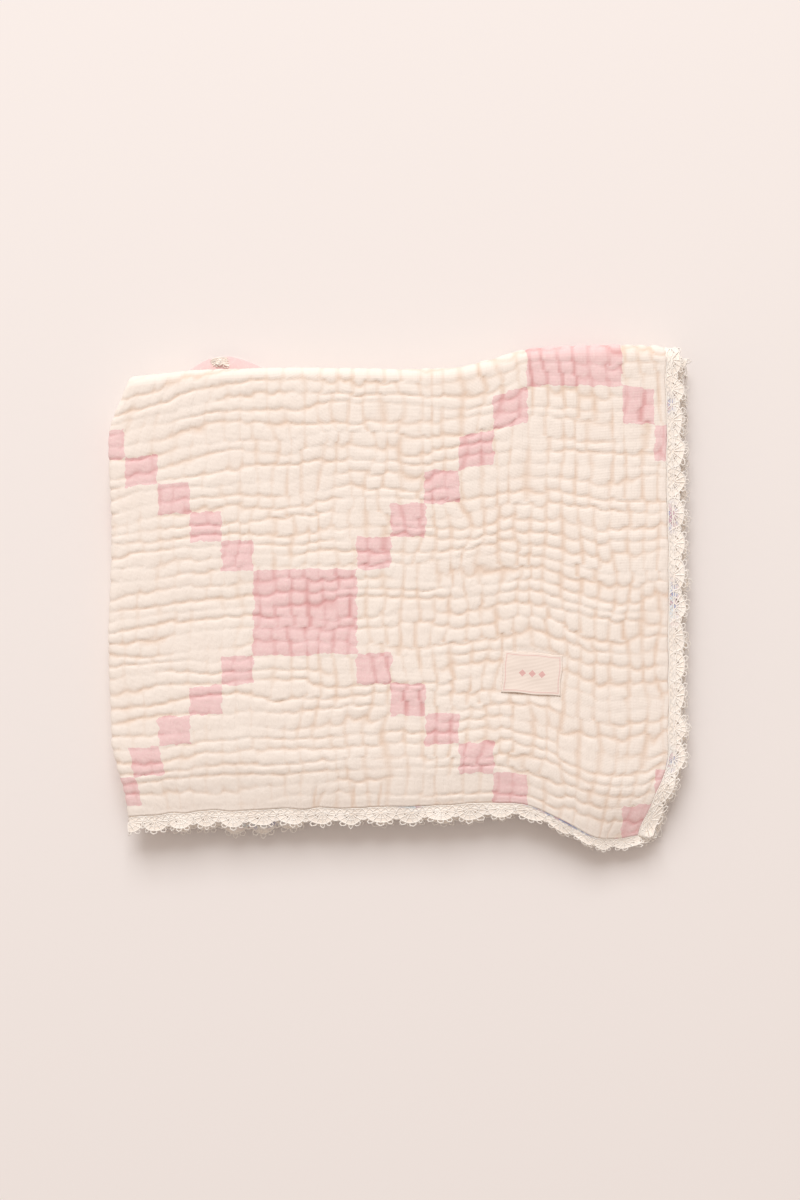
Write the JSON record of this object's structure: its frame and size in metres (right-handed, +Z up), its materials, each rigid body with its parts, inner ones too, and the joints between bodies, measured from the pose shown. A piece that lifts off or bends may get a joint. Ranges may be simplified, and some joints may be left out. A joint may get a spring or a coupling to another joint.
{
  "type": "folded gauze baby blanket",
  "caption": "Crinkled cotton gauze baby blanket with printed backing and scalloped lace edge, folded in half and then in thirds, lying flat.",
  "frame": {"origin": "middle of the folded blanket's outline, on the surface it lies on", "axes": "+Z up; +X from the left fold towards the lace hems at the right; +Y from the near lace hem towards the far fold"},
  "size_m": [0.4232, 0.3698, 0.0293],
  "materials": {
    "gauze": "crinkled cream cotton gauze with woven dusty pink squares, matt",
    "backing": "fine printed cotton muslin, pale ground with small flowers, matt",
    "lace": "ecru cotton crochet lace, matt",
    "label": "woven cream cotton tape with pale pink stitches, satin weave"
  },
  "bodies": {
    "root": {"front_gauze": "gauze", "printed_backing": "backing", "lace_trim": "lace", "woven_label": "label"}
  },
  "joints": []
}
